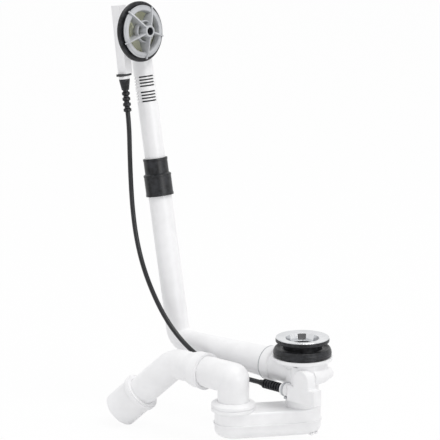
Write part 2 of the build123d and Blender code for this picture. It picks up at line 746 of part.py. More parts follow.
def outlet_bend():
    """Socket, taper and 45 degree bend down to the reducer."""
    socket_end = SWIVEL_X - BEND_SOCKET_LENGTH
    tail_end = BEND_CORNER + TAIL_DIR * REDUCER_START
    path = FilletPolyline(
        (socket_end, RISER_Y, OUTLET_Z),
        BEND_CORNER,
        tail_end,
        radius=BEND_R,
    )
    pipe = bent(BEND_PIPE_R, path)
    pipe += turned(
        [
            (0, SWIVEL_X),
            (BEND_SOCKET_R, SWIVEL_X),
            (BEND_SOCKET_R, socket_end + BEND_TAPER),
            (BEND_PIPE_R, socket_end - BEND_TAPER / 3),
            (0, socket_end - BEND_TAPER / 3),
        ],
        OUTLET,
    )
    bore = BEND_PIPE_R - RISER_WALL
    pipe -= bent(bore, path) + rod(OUTLET, bore, socket_end, SWIVEL_X)
    return pipe - rod(OUTLET, RISER_R + RUN_GAP, socket_end + BEND_TAPER / 2, SWIVEL_X)


def reducer_seal():
    low = REDUCER_START - REDUCER_SEAL_T
    return ring(TAIL, REDUCER_COLLAR_R - REDUCER_SEAL_IN, BEND_PIPE_R + SEAT_GAP, low, REDUCER_START)


def outlet_reducer():
    """Collar that takes the bend's end, stepping out to the outlet spigot."""
    collar_end = REDUCER_START + REDUCER_COLLAR_T
    bore = BEND_PIPE_R - RISER_WALL
    body = turned(
        [
            (0, REDUCER_START),
            (REDUCER_COLLAR_R, REDUCER_START),
            (REDUCER_COLLAR_R, collar_end),
            (REDUCER_SPIGOT_R, collar_end + REDUCER_STEP),
            (REDUCER_SPIGOT_R, REDUCER_END),
            (0, REDUCER_END),
        ],
        TAIL,
    )
    body = chamfer(body.edges().sort_by(Axis(TAIL.origin, TAIL.z_dir))[-1], REDUCER_EDGE)
    body -= rod(TAIL, bore, REDUCER_START, REDUCER_END)
    cone = REDUCER_START + REDUCER_INSET
    wide = REDUCER_SPIGOT_R - REDUCER_WALL
    return body - turned(
        [
            (0, cone),
            (bore, cone),
            (wide, cone + REDUCER_CONE),
            (wide, REDUCER_END),
            (0, REDUCER_END),
        ],
        TAIL,
    )


def overflow_pipe():
    """Upright lower tube, elbow and the widening run into the waste's stub."""
    top = CORNER + UPRIGHT_DIR * LOWER_TUBE_TOP
    path = FilletPolyline(top, CORNER, (TAPER_START_X, 0, STUB_Z), radius=CORNER_BEND_R)
    bore_r = UPPER_TUBE_R + RUN_GAP
    mouth_x = STUB_END_X - SEAL_T
    spigot_end = STUB_END_X + SPIGOT_LENGTH
    spigot_bore = SPIGOT_R - SPIGOT_WALL
    outside = bent(LOWER_TUBE_R, path) + turned(
        [
            (0, TAPER_START_X),
            (LOWER_TUBE_R, TAPER_START_X),
            (PIPE_MOUTH_R, mouth_x),
            (SPIGOT_R, mouth_x),
            (SPIGOT_R, spigot_end),
            (0, spigot_end),
        ],
        ALONG_X,
    )
    inside = bent(bore_r, path) + turned(
        [
            (0, TAPER_START_X),
            (bore_r, TAPER_START_X),
            (spigot_bore, mouth_x),
            (spigot_bore, spigot_end),
            (0, spigot_end),
        ],
        ALONG_X,
    )
    return outside - inside


def pipe_seal():
    return ring(ALONG_X, STUB_MOUTH_R + SEAL_PROUD, SPIGOT_R + SEAT_GAP, STUB_END_X - SEAL_T, STUB_END_X)


def telescope_sleeve():
    """Stepped rubber sleeve that grips the lower tube and wipes the upper one."""
    grip = LOWER_TUBE_R
    wipe = UPPER_TUBE_R + RUN_GAP
    big = SLEEVE_BIG_R + SLEEVE_BEAD
    small = SLEEVE_SMALL_R + SLEEVE_BEAD
    slope = SLEEVE_BAND + SLEEVE_BEAD
    return turned(
        [
            (grip, SLEEVE_START),
            (big, SLEEVE_START),
            (big, SLEEVE_START + SLEEVE_BAND),
            (SLEEVE_BIG_R, SLEEVE_START + slope),
            (SLEEVE_BIG_R, SLEEVE_STEP - slope),
            (big, SLEEVE_STEP - SLEEVE_BAND),
            (big, SLEEVE_STEP - SLEEVE_STEP_HALF),
            (SLEEVE_SMALL_R, SLEEVE_STEP + SLEEVE_STEP_HALF),
            (SLEEVE_SMALL_R, SLEEVE_END - slope),
            (small, SLEEVE_END - SLEEVE_BAND),
            (small, SLEEVE_END),
            (wipe, SLEEVE_END),
            (wipe, LOWER_TUBE_TOP),
            (grip, LOWER_TUBE_TOP),
        ],
        UPRIGHT,
    )


def overflow_tube():
    """Upper tube; a slotted length lets the head settle against the bath."""
    wall = Circle(UPPER_TUBE_R) - Circle(UPPER_TUBE_R - UPPER_TUBE_WALL)
    web_out = Circle(UPPER_TUBE_R - WEB_SET_BACK)
    web_in = Circle(UPPER_TUBE_R - UPPER_TUBE_WALL + WEB_SET_BACK)
    webs = (web_out - web_in) & Rectangle(4 * UPPER_TUBE_R, 2 * WEB_HALF_W)
    layers = []
    low = UPPER_TUBE_START
    for slot in SLOTS:
        layers += [(wall, low, slot - SLOT_W / 2), (webs, slot - SLOT_W / 2, slot + SLOT_W / 2)]
        low = slot + SLOT_W / 2
    layers.append((wall, low, UPPER_TUBE_END))
    rings = []
    for section, start, end in layers:
        rings += (UPRIGHT * Pos(0, 0, start) * extrude(section, end - start)).solids()
    return rings[0].fuse(*rings[1:])


def flex_liner():
    """Rubber liner that keeps the slotted length watertight."""
    outer = UPPER_TUBE_R - UPPER_TUBE_WALL
    return ring(UPRIGHT, outer, outer - LINER_T, SLOTS[0] - LINER_OVERLAP, SLOTS[-1] + LINER_OVERLAP)


def head_block(b0, b1, c0, c1, a0, a1):
    """Box in the head's own frame: across, up and forward."""
    return HEAD * block(b0, b1, c0, c1, a0, a1)


def gear_room(grow, a0, a1):
    """Round room behind the drum for the pinion, joined to the cable box."""
    room = rod(HEAD, PINION_R + TOOTH_MODULE + 3 * RUN_GAP + grow, a0, a1)
    left = BOX_LEFT + BOX_WALL - grow
    right = TOOTH_MODULE + RUN_GAP - PINION_R + grow
    low = RACK_LOW - 2 * RUN_GAP - grow
    high = RACK_HIGH + RACK_TRAVEL + 2 * RUN_GAP + grow
    return room + head_block(left, right, low, high, a0, a1)


def cable_box(grow, top, bottom, a0, a1):
    return head_block(BOX_LEFT - grow, BOX_RIGHT + grow, bottom, top, a0, a1)


def overflow_housing():
    """Drum behind the gasket, the duct to the upright and the cable's box."""
    body = rod(HEAD, HEAD_PLATE_R, -HEAD_PLATE_T, 0) + rod(HEAD, DRUM_R, -DRUM_DEPTH, 0)
    duct_r = UPPER_TUBE_R + SEAT_GAP + DUCT_WALL
    duct_in = UPPER_TUBE_R - UPPER_TUBE_WALL
    duct = rod(UPRIGHT, duct_r, DUCT_START, DUCT_TOP)
    duct += UPRIGHT * Pos(0, 0, DUCT_TOP) * Sphere(duct_r)
    reach = DUCT_TOP - DUCT_START + 2 * duct_r
    body += duct & head_block(-reach, reach, -reach, reach, -reach, -HEAD_PLATE_T)
    room_back = BOX_BACK + BOX_COVER_T
    body += cable_box(0, BOX_TOP, BOX_BOTTOM, room_back, BOX_FRONT)
    body += gear_room(BOX_WALL, room_back, -DRUM_DEPTH)

    # Water way
    body -= rod(HEAD, DRUM_R - DRUM_WALL, DRUM_WALL - DRUM_DEPTH, 0)
    body -= rod(UPRIGHT, UPPER_TUBE_R + SEAT_GAP, DUCT_START, UPPER_TUBE_END)
    body -= rod(UPRIGHT, duct_in, UPPER_TUBE_END, DUCT_TOP)
    body -= UPRIGHT * Pos(0, 0, DUCT_TOP) * Sphere(duct_in)
    floor = DRUM_WALL - DRUM_DEPTH
    port = head_block(PORT_NEAR, DRUM_R, PORT_LOW, PORT_HIGH, PORT_BACK, floor)
    body -= port & rod(HEAD, DRUM_R - DRUM_WALL, PORT_BACK, floor)

    # Rooms for rack and pinion, open at the back
    inner_top = BOX_TOP - BOX_WALL
    inner_bottom = BOX_BOTTOM + FERRULE_LENGTH
    body -= cable_box(-BOX_WALL, inner_top, inner_bottom, room_back, BOX_FRONT - BOX_WALL)
    gear_front = PINION_FRONT + RUN_GAP
    body -= gear_room(0, room_back, gear_front)

    # Spindle boss with its stepped rings, standing in the drum
    body += rod(HEAD, BOSS_RING_R, floor, floor + BOSS_RING_H) + rod(HEAD, BOSS_R, floor, floor + BOSS_H)
    body += rod(HEAD, BOSS_R, gear_front, floor)
    body -= rod(HEAD, SPINDLE_R + SHAFT_GAP, gear_front, floor + BOSS_H)
    body -= rod(CABLE_TOP, FERRULE_R + SEAT_GAP, BOX_BOTTOM, inner_bottom)
    return body


def housing_cover():
    """Back plate over the rack and pinion."""
    back = BOX_BACK
    front = BOX_BACK + BOX_COVER_T
    plate = cable_box(0, BOX_TOP, BOX_BOTTOM, back, front) + gear_room(BOX_WALL, back, front)
    duct_clear = UPPER_TUBE_R + SEAT_GAP + DUCT_WALL + RUN_GAP
    return plate - rod(UPRIGHT, duct_clear, DUCT_START, DUCT_TOP + duct_clear)


def overflow_gasket():
    inner = WHEEL_R - WHEEL_BAND + WHEEL_COLLAR_T / 2 + SEAT_GAP
    bead = HEAD_GASKET_BEAD
    lip_low = HEAD_GASKET_T - HEAD_GASKET_LIP_T
    return turned(
        [
            (inner, 0),
            (HEAD_GASKET_R - bead, 0),
            (HEAD_GASKET_R, bead),
            (HEAD_GASKET_R, lip_low - bead),
            (HEAD_GASKET_R - bead, lip_low),
            (HEAD_GASKET_LIP_R - HEAD_GASKET_LIP_SLOPE, lip_low),
            (HEAD_GASKET_LIP_R, HEAD_GASKET_T),
            (inner, HEAD_GASKET_T),
        ],
        HEAD,
    )


def overflow_flange():
    """Spoked clamping flange: dished rim, deep ribs and a tube hub."""
    back = HEAD_GASKET_T
    band_in = WHEEL_R - WHEEL_BAND
    front = back + WHEEL_RISE
    collar_back = back - WHEEL_COLLAR_T
    wheel = turned(
        [
            (WHEEL_R - WHEEL_EDGE, back),
            (WHEEL_R, back + WHEEL_EDGE / 2),
            (WHEEL_R, back + WHEEL_LIP_T),
            (WHEEL_R - WHEEL_LIP_W, back + WHEEL_LIP_T),
            (WHEEL_R - WHEEL_LIP_W - WHEEL_EDGE / 2, back + WHEEL_LIP_T + WHEEL_LIP_STEP),
            (band_in + WHEEL_EDGE, front + WHEEL_T),
            (band_in, front + WHEEL_T - WHEEL_EDGE),
            (band_in, collar_back),
            (band_in + WHEEL_COLLAR_T / 2, collar_back),
            (band_in + WHEEL_COLLAR_T / 2, back),
        ],
        HEAD,
    )
    hub_back = HUB_FRONT - HUB_LENGTH
    rib_end = WHEEL_R - RIM_NOTCH_D
    wheel += rod(HEAD, HUB_R, hub_back, HUB_FRONT)
    rib = Polyline(
        (0, hub_back + RIB_BACK),
        (band_in + RIB_LAP, collar_back),
        (band_in + RIB_LAP, front),
        (rib_end, back + WHEEL_T / 2),
        (rib_end, back + WHEEL_T + RIB_PROUD),
        (band_in, front + WHEEL_T + RIB_PROUD),
        (HUB_R, HUB_FRONT - RIB_SINK),
        (0, HUB_FRONT - RIB_SINK),
        close=True,
    )
    for k in range(RIB_COUNT):
        spin = HEAD * Rot(0, 0, RIB_TURN_DEG + k * 360 / RIB_COUNT)
        blade = Pos(0, RIB_T / 2, 0) * extrude(Plane.XZ * make_face(rib), RIB_T)
        wheel += spin * blade
        notch = Pos(WHEEL_R, 0, back + WHEEL_T / 2) * Box(2 * RIM_NOTCH_D, RIM_NOTCH_W, 2 * WHEEL_T)
        wheel -= spin * notch
        nub_x = rib_end - NUB_ROOT
        nub = block(nub_x, WHEEL_R + RIB_NUB, -RIB_T / 2, RIB_T / 2, back, back + WHEEL_T - NUB_SINK)
        wheel += spin * nub
    return wheel - rod(HEAD, HUB_BORE_R, hub_back, HUB_FRONT)


def involute_point(base_r, radius, offset):
    """Point of an involute flank at a radius, turned by an offset angle."""
    if radius <= base_r:
        return (radius * math.cos(offset), radius * math.sin(offset))
    alpha = math.acos(base_r / radius)
    angle = offset + math.tan(alpha) - alpha
    return (radius * math.cos(angle), radius * math.sin(angle))


def pinion():
    """Involute pinion face; a tooth gap faces the rack, on the left."""
    pressure = math.radians(PRESSURE_DEG)
    base_r = PINION_R * math.cos(pressure)
    tip_r = PINION_R + TOOTH_ADDENDUM * TOOTH_MODULE
    root_r = PINION_R - TOOTH_DEDENDUM * TOOTH_MODULE
    thick = math.pi * TOOTH_MODULE / 2 - TOOTH_BACKLASH / 2
    half = thick / 2 / PINION_R + math.tan(pressure) - pressure
    radii = [root_r, base_r, (base_r + tip_r) / 2, tip_r]
    points = []
    for tooth in range(PINION_TOOTH_COUNT):
        centre = 2 * math.pi * (tooth + 0.5) / PINION_TOOTH_COUNT + math.pi
        flank = [involute_point(base_r, r, -half) for r in radii]
        flank += [(x, -y) for x, y in reversed(flank)]
        cos_c = math.cos(centre)
        sin_c = math.sin(centre)
        points += [(x * cos_c - y * sin_c, x * sin_c + y * cos_c) for x, y in flank]
    return make_face(Polyline(*points, close=True))


def drive_spindle():
    """Spindle through the hub, with a square key socket and the pinion behind."""
    back = PINION_FRONT - PINION_FACE
    spindle = rod(HEAD, SPINDLE_R, PINION_FRONT, SPINDLE_FRONT)
    spindle += HEAD * Pos(0, 0, back) * extrude(pinion(), PINION_FACE)
    socket = Rectangle(SPINDLE_SOCKET, SPINDLE_SOCKET)
    low = SPINDLE_FRONT - SPINDLE_SOCKET_DEPTH
    return spindle - HEAD * Pos(0, 0, low) * extrude(socket, SPINDLE_SOCKET_DEPTH)


def wire_rack():
    """Rack beside the pinion with the cable's wire on it, low at rest."""
    slope = math.tan(math.radians(PRESSURE_DEG))
    tip = TOOTH_ADDENDUM * TOOTH_MODULE
    root = TOOTH_DEDENDUM * TOOTH_MODULE
    half = RACK_PITCH / 4 - TOOTH_BACKLASH / 4
    line_b = -PINION_R
    left = line_b - RACK_W
    points = [(left, RACK_LOW), (line_b - root, RACK_LOW)]
    for tooth in range(RACK_TOOTH_COUNT):
        c = RACK_LOW + (tooth + 0.5) * RACK_PITCH
        points += [
            (line_b - root, c - half - root * slope),
            (line_b + tip, c - half + tip * slope),
            (line_b + tip, c + half - tip * slope),
            (line_b - root, c + half + root * slope),
        ]
    points += [(line_b - root, RACK_HIGH), (left, RACK_HIGH)]
    back = PINION_FRONT - PINION_FACE + RUN_GAP
    rack = HEAD * Pos(0, 0, back) * extrude(make_face(Polyline(*points, close=True)), PINION_FACE - RUN_GAP)
    wire_low = BOX_BOTTOM + FERRULE_LENGTH / 4
    return rack + rod(CABLE_TOP, WIRE_R, wire_low, RACK_LOW)


def upper_ferrule():
    """White end piece of the cable: stem in the box, neck for the clip, cap."""
    stem_top = BOX_BOTTOM + FERRULE_LENGTH
    clip_low = BOX_BOTTOM - CLIP_T
    stem = ring(CABLE_TOP, FERRULE_R, WIRE_BORE_R, clip_low, stem_top)
    cap = rod(CABLE_TOP, CAP_R, clip_low - CAP_T, clip_low)
    return stem + fillet(cap.edges(), CAP_ROUND)


def cable_clip():
    """Fork that slides over the ferrule's neck, under the box."""
    low = BOX_BOTTOM - CLIP_T
    plate = CABLE_TOP * Pos(0, 0, low) * extrude(Rectangle(CLIP_W, CLIP_D), CLIP_T)
    neck = FERRULE_R + SEAT_GAP
    plate -= rod(CABLE_TOP, neck, low, BOX_BOTTOM)
    slot = CABLE_TOP * Pos(0, CLIP_D / 2, low) * extrude(Rectangle(2 * neck, CLIP_D), CLIP_T)
    return plate - slot


def boot_end():
    return BOX_BOTTOM - CLIP_T - CAP_T - BOOT_TAPER - BOOT_BEAD_COUNT * BOOT_BEAD_PITCH


def upper_boot():
    """Rubber strain relief: a tapered skirt and a row of beads."""
    top = BOX_BOTTOM - CLIP_T - CAP_T
    z = top - BOOT_TAPER
    root = BOOT_NECK_R - BOOT_GROOVE
    outline = [(0, top), (BOOT_TOP_R, top), (BOOT_TOP_R, top - BOOT_SKIRT), (BOOT_NECK_R, z)]
    for bead in range(BOOT_BEAD_COUNT):
        outline += [
            (root, z),
            (root, z - GROOVE_SHARE * BOOT_BEAD_PITCH),
            (BOOT_BEAD_R, z - RING_FROM * BOOT_BEAD_PITCH),
            (BOOT_BEAD_R, z - RING_TO * BOOT_BEAD_PITCH),
        ]
        z -= BOOT_BEAD_PITCH
    outline += [(root, z), (0, z)]
    return turned(outline, CABLE_TOP)


def bowden_cable():
    """Cable between the two boots, as straight runs with wide tangent arcs."""
    first = CABLE_TOP.from_local_coords(Vector(0, 0, boot_end()))
    last = Vector(LOWER_BOOT_END_X, CABLE_Y, CABLE_Z)
    route = [first, first - HEAD_H * CABLE_TOP_RUN]
    route += [Vector(*point) for point in CABLE_ROUTE]
    route += [last - Vector(CABLE_LAST_RUN, 0, 0), last]
    radii = []
    for before, here, after in zip(route, route[1:], route[2:]):
        bend = math.radians((here - before).get_angle(after - here))
        shorter = min((here - before).length, (after - here).length)
        radii.append(CABLE_ARC_SHARE * shorter / math.tan(bend / 2))
    path = FilletPolyline(*route, radius=radii)
    cable = bent(CABLE_R, path)
    print("cable radii", [round(r) for r in radii])
    print("cable length", round(path.length, 1), "volume", round(cable.volume), "section by length",
          round(math.pi * CABLE_R**2 * path.length))
    return cable


PIECES = {
    "waste_flange": waste_flange,
    "waste_gasket": waste_gasket,
    "waste_body": waste_body,
    "lever_cover": lever_cover,
    "lift_lever": lift_lever,
    "crank_arm": crank_arm,
    "wire_slider": wire_slider,
    "lower_ferrule": lower_ferrule,
    "lower_boot": lower_boot,
    "gland_clip": gland_clip,
    "bowden_cable": bowden_cable,
    "trap_pan": trap_pan,
    "trap_deck": trap_deck,
    "riser_seal": riser_seal,
    "outlet_elbow": outlet_elbow,
    "swivel_ring": swivel_ring,
    "outlet_bend": outlet_bend,
    "reducer_seal": reducer_seal,
    "outlet_reducer": outlet_reducer,
    "overflow_pipe": overflow_pipe,
    "pipe_seal": pipe_seal,
    "telescope_sleeve": telescope_sleeve,
    "overflow_tube": overflow_tube,
    "flex_liner": flex_liner,
    "overflow_housing": overflow_housing,
    "housing_cover": housing_cover,
    "overflow_gasket": overflow_gasket,
    "overflow_flange": overflow_flange,
    "drive_spindle": drive_spindle,
    "wire_rack": wire_rack,
    "upper_ferrule": upper_ferrule,
    "cable_clip": cable_clip,
    "upper_boot": upper_boot,
}

for name, make in PIECES.items():
    export_step(make(), f"parts/{name}.step")
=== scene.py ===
import json
import math

import bpy
from mathutils import Matrix, Vector


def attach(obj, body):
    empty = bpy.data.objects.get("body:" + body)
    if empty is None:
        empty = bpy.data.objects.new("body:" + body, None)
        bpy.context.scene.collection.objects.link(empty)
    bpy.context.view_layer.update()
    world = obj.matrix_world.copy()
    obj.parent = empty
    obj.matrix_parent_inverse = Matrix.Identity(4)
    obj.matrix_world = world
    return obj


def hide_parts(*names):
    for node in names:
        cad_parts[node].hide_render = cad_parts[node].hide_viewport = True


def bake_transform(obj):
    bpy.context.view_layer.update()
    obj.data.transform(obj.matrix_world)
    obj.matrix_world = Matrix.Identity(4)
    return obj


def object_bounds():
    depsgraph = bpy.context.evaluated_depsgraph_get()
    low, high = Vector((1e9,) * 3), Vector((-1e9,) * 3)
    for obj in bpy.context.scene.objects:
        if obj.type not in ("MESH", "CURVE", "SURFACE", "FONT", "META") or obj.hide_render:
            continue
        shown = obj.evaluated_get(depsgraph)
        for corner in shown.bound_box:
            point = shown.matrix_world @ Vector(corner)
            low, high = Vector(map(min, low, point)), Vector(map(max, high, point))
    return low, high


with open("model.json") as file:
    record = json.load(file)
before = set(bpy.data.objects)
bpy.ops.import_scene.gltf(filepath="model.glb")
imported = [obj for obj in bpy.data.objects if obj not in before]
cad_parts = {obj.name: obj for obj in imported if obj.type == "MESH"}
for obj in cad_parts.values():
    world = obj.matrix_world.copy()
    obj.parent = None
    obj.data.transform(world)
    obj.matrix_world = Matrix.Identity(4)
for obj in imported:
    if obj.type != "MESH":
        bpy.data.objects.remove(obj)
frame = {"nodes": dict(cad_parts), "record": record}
cad_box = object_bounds()
scene = bpy.context.scene
scene.view_settings.view_transform = "Standard"

MM = 0.001

# Camera: long lens from the front right, a little above
CAMERA_PLACE = (2.6046, -2.8544, 1.0542)
CAMERA_TURN_DEG = (77.0, 0.0, 44.0)
CAMERA_REACH = 50.0
FOCAL_PX = 3020.0
IMAGE_PX = 440.0
SENSOR_MM = 36.0

camera_data = bpy.data.cameras.new("camera")
camera_data.sensor_width = SENSOR_MM
camera_data.lens = FOCAL_PX / IMAGE_PX * SENSOR_MM
camera_data.clip_end = CAMERA_REACH
camera = bpy.data.objects.new("camera", camera_data)
camera.location = CAMERA_PLACE
camera.rotation_euler = [math.radians(a) for a in CAMERA_TURN_DEG]
scene.collection.objects.link(camera)
scene.camera = camera

# Overflow head: its centre, and the directions across it, up along it and out of it
HEAD_TILT = math.radians(7.7)
HEAD_ACROSS = Vector((0.0, 1.0, 0.0))
HEAD_UP = Vector((-math.sin(HEAD_TILT), 0.0, math.cos(HEAD_TILT)))
HEAD_OUT = Vector((math.cos(HEAD_TILT), 0.0, math.sin(HEAD_TILT)))
HEAD_CENTRE = Vector((-282.0, -24.0, 383.0)) * MM

# Moulded skins: the contrast of their clouds, how far roughness follows it, and how soft edges are.
# The grain is drawn several times as coarse as a real skin's, which is too fine to show.
CLOUD_LOW = 0.34
CLOUD_HIGH = 0.66
CLOUD_DETAIL = 3.0
CLOUD_GAIN = 0.55
GRAIN_DETAIL = 2.0
GRAIN_GAIN = 0.6
ROUGHNESS_SWING = 0.05
SOFT_EDGE = 0.4 * MM
SOFT_EDGE_SAMPLES = 4


def colour(hex_value):
    """Linear colour of an sRGB hex value."""
    parts = [int(hex_value[i:i + 2], 16) / 255 for i in (1, 3, 5)]
    linear = [c / 12.92 if c <= 0.04045 else ((c + 0.055) / 1.055) ** 2.4 for c in parts]
    return (*linear, 1.0)


def add(tree, kind, values=None, links=None, **settings):
    """Adds one node with its settings, its sockets' values and the links into it."""
    node = tree.nodes.new(kind)
    for name, value in settings.items():
        setattr(node, name, value)
    for socket, value in (values or {}).items():
        node.inputs[socket].default_value = value
    for socket, source in (links or {}).items():
        tree.links.new(source, node.inputs[socket])
    return node


def new_tree(name):
    """Empty material tree with its output."""
    material = bpy.data.materials.new(name)
    material.use_nodes = True
    material.node_tree.nodes.clear()
    output = add(material.node_tree, "ShaderNodeOutputMaterial")
    return material, material.node_tree, output


def per_metre(size_mm):
    """Texture scale at which one feature is about that many millimetres."""
    return 1.0 / (size_mm * MM)


def moulded(name, dark, light, roughness, cloud_mm, grain_mm, grain_depth_mm, **sockets):
    """Moulded surface: slow colour clouds, roughness that varies with them and a fine skin."""
    material, tree, output = new_tree(name)
    place = add(tree, "ShaderNodeTexCoord").outputs["Object"]
    cloud = add(
        tree, "ShaderNodeTexNoise",
        {"Scale": per_metre(cloud_mm), "Detail": CLOUD_DETAIL, "Roughness": CLOUD_GAIN},
        {"Vector": place},
    )
    share = add(
        tree, "ShaderNodeMapRange", {"From Min": CLOUD_LOW, "From Max": CLOUD_HIGH},
        {"Value": cloud.outputs["Fac"]},
    ).outputs["Result"]
    tint = add(tree, "ShaderNodeMixRGB", {1: colour(dark), 2: colour(light)}, {0: share})
    rough = add(
        tree, "ShaderNodeMapRange",
        {"To Min": roughness - ROUGHNESS_SWING, "To Max": roughness + ROUGHNESS_SWING},
        {"Value": share},
    )
    grain = add(
        tree, "ShaderNodeTexNoise",
        {"Scale": per_metre(grain_mm), "Detail": GRAIN_DETAIL, "Roughness": GRAIN_GAIN},
        {"Vector": place},
    )
    edge = add(tree, "ShaderNodeBevel", {"Radius": SOFT_EDGE}, samples=SOFT_EDGE_SAMPLES)
    bump = add(
        tree, "ShaderNodeBump", {"Strength": 1.0, "Distance": grain_depth_mm * MM},
        {"Height": grain.outputs["Fac"], "Normal": edge.outputs["Normal"]},
    )
    shader = add(
        tree, "ShaderNodeBsdfPrincipled", sockets,
        {
            "Base Color": tint.outputs[0],
            "Roughness": rough.outputs["Result"],
            "Normal": bump.outputs["Normal"],
        },
    )
    tree.links.new(shader.outputs["BSDF"], output.inputs["Surface"])
    return material


def painted_shade_inside(material, shade_hex, radius, middle, half_depth):
    """Paints shade into a finish inside a round room on the head's axis.

    The room reaches out to the radius, and half its depth to either side of its middle.
    """
    tree = material.node_tree
    shader = next(n for n in tree.nodes if n.type == "BSDF_PRINCIPLED")
    plain = shader.inputs["Base Color"].links[0].from_socket
    place = add(tree, "ShaderNodeTexCoord").outputs["Object"]
    arm = add(
        tree, "ShaderNodeVectorMath", {1: HEAD_CENTRE}, {0: place}, operation="SUBTRACT",
    ).outputs[0]
    along = add(tree, "ShaderNodeVectorMath", {1: HEAD_OUT}, {0: arm}, operation="DOT_PRODUCT")
    axial = add(tree, "ShaderNodeVectorMath", {1: HEAD_OUT}, {0: arm}, operation="PROJECT")
    far = add(
        tree, "ShaderNodeVectorMath", None, {0: arm, 1: axial.outputs[0]}, operation="DISTANCE",
    )
    near = add(
        tree, "ShaderNodeMath", {1: radius}, {0: far.outputs["Value"]}, operation="LESS_THAN",
    )
    deep = add(
        tree, "ShaderNodeMath", {1: middle, 2: half_depth}, {0: along.outputs["Value"]},
        operation="COMPARE",
    )
    # Mask of the room where the shade colour is painted
    inside = add(
        tree, "ShaderNodeMath", None, {0: near.outputs[0], 1: deep.outputs[0]},
        operation="MULTIPLY",
    )
    # Painted shade: the shade colour takes the place of the finish's own colour inside the room
    tint = add(
        tree, "ShaderNodeMixRGB", {2: colour(shade_hex)}, {0: inside.outputs[0], 1: plain},
    )
    tree.links.new(tint.outputs[0], shader.inputs["Base Color"])
    return material


WHITE_SKIN = {
    "dark": "#eeeeef", "light": "#f5f5f6", "roughness": 0.36,
    "cloud_mm": 28.0, "grain_mm": 2.2, "grain_depth_mm": 0.02, "IOR": 1.49,
}
GREY_SKIN = {
    "dark": "#b3b5b8", "light": "#bfc1c4", "roughness": 0.34,
    "cloud_mm": 16.0, "grain_mm": 1.6, "grain_depth_mm": 0.015, "IOR": 1.54,
}

# Polypropylene, injection moulded: a clean white with a soft sheen and a faint flow in the skin
polypropylene = moulded("moulded_polypropylene", **WHITE_SKIN)

# EPDM rubber, moulded: nearly black, half matt, with a grey bloom in patches
rubber = moulded(
    "moulded_epdm_rubber", dark="#08090a", light="#2b2c30", roughness=0.36,
    cloud_mm=6.0, grain_mm=0.9, grain_depth_mm=0.04, IOR=1.4,
)

# PVC jacket, extruded: black and satin, so that a long highlight runs along it
jacket = moulded(
    "extruded_pvc_jacket", dark="#141517", light="#212225", roughness=0.33,
    cloud_mm=12.0, grain_mm=1.4, grain_depth_mm=0.012, IOR=1.45,
)

# Grey ABS, moulded: the clamping flange and small fittings, a little glossier than the white
grey_abs = moulded("moulded_grey_abs", **GREY_SKIN)

# Thermoplastic elastomer, moulded: pale grey seals that show as thin lines
elastomer = moulded(
    "moulded_grey_elastomer", dark="#b3b5b8", light="#c3c5c7", roughness=0.5,
    cloud_mm=10.0, grain_mm=1.0, grain_depth_mm=0.02, IOR=1.5,
)

# Acetal, moulded: black working pieces with a low waxy gloss
acetal = moulded(
    "moulded_black_acetal", dark="#1d1e20", light="#292a2d", roughness=0.38,
    cloud_mm=8.0, grain_mm=1.2, grain_depth_mm=0.012, IOR=1.48,
)

# Chromium plate, polished: mirror bright, with the slight haze of wiping
chrome = moulded(
    "polished_chromium_plate", dark="#d4d6d8", light="#e2e3e5", roughness=0.09,
    cloud_mm=20.0, grain_mm=6.0, grain_depth_mm=0.002, Metallic=1.0,
)

# Polypropylene of the overflow's housing: the same white, with olive painted shade inside the drum
housing_drum_painted_shade = painted_shade_inside(
    moulded("moulded_polypropylene_housing_painted_shade", **WHITE_SKIN),
    "#e6e7d2", radius=28.4 * MM, middle=-5.0 * MM, half_depth=5.2 * MM,
)

# Grey ABS of the clamping flange: the same grey, with painted shade darkening the hub's bore
flange_abs_painted_bore_shade = painted_shade_inside(
    moulded("moulded_grey_abs_flange_painted_shade", **GREY_SKIN),
    "#3c3f45", radius=5.6 * MM, middle=9.5 * MM, half_depth=13.2 * MM,
)

SLOT_FINISHES = {
    "white_polypropylene": polypropylene,
    "black_rubber": rubber,
    "grey_rubber": elastomer,
    "chrome_plate": chrome,
    "grey_plastic": grey_abs,
    "black_plastic": acetal,
    "cable_jacket": jacket,
}
# Finishes with painted shade inside the housing's drum and the flange's bore
PAINTED_SHADE_FINISHES = {"overflow_housing": housing_drum_painted_shade, "overflow_flange": flange_abs_painted_bore_shade}
for part in frame["record"]["subparts"]:
    node = part["node"]
    mesh = frame["nodes"][node].data
    mesh.materials.clear()
    mesh.materials.append(PAINTED_SHADE_FINISHES.get(node, SLOT_FINISHES[part["material_slot"]]))

# Modelled pieces: steps of a full turn and of a rounded edge, the angle below which faces blend, and
# the gap that a turned seam closes
ROUND_STEPS = 96
EDGE_STEPS = 2
SMOOTH_BELOW = math.radians(35)
MERGE_WITHIN = 0.01 * MM


def primitive(add_one, **settings):
    """Adds one primitive with nothing else selected."""
    bpy.ops.object.select_all(action="DESELECT")
    add_one(**settings)
    return bpy.context.object


def select_only(piece):
    """Makes a piece the active one and the only selected one."""
    bpy.ops.object.select_all(action="DESELECT")
    piece.select_set(True)
    bpy.context.view_layer.objects.active = piece


def settled(piece):
    """Puts the place, turn and scale of a piece in its mesh."""
    select_only(piece)
    bpy.ops.object.transform_apply(location=True, rotation=True, scale=True)


def reshaped(piece, kind, **settings):
    """Adds one modifier to a piece with its settings and applies it."""
    select_only(piece)
    modifier = piece.modifiers.new(kind, kind)
    for name, value in settings.items():
        setattr(modifier, name, value)
    bpy.ops.object.modifier_apply(modifier=modifier.name)


def combined(piece, other, operation):
    """Joins another solid to a piece or cuts it out, and removes the other one."""
    reshaped(piece, "BOOLEAN", operation=operation, object=other)
    bpy.data.objects.remove(other)


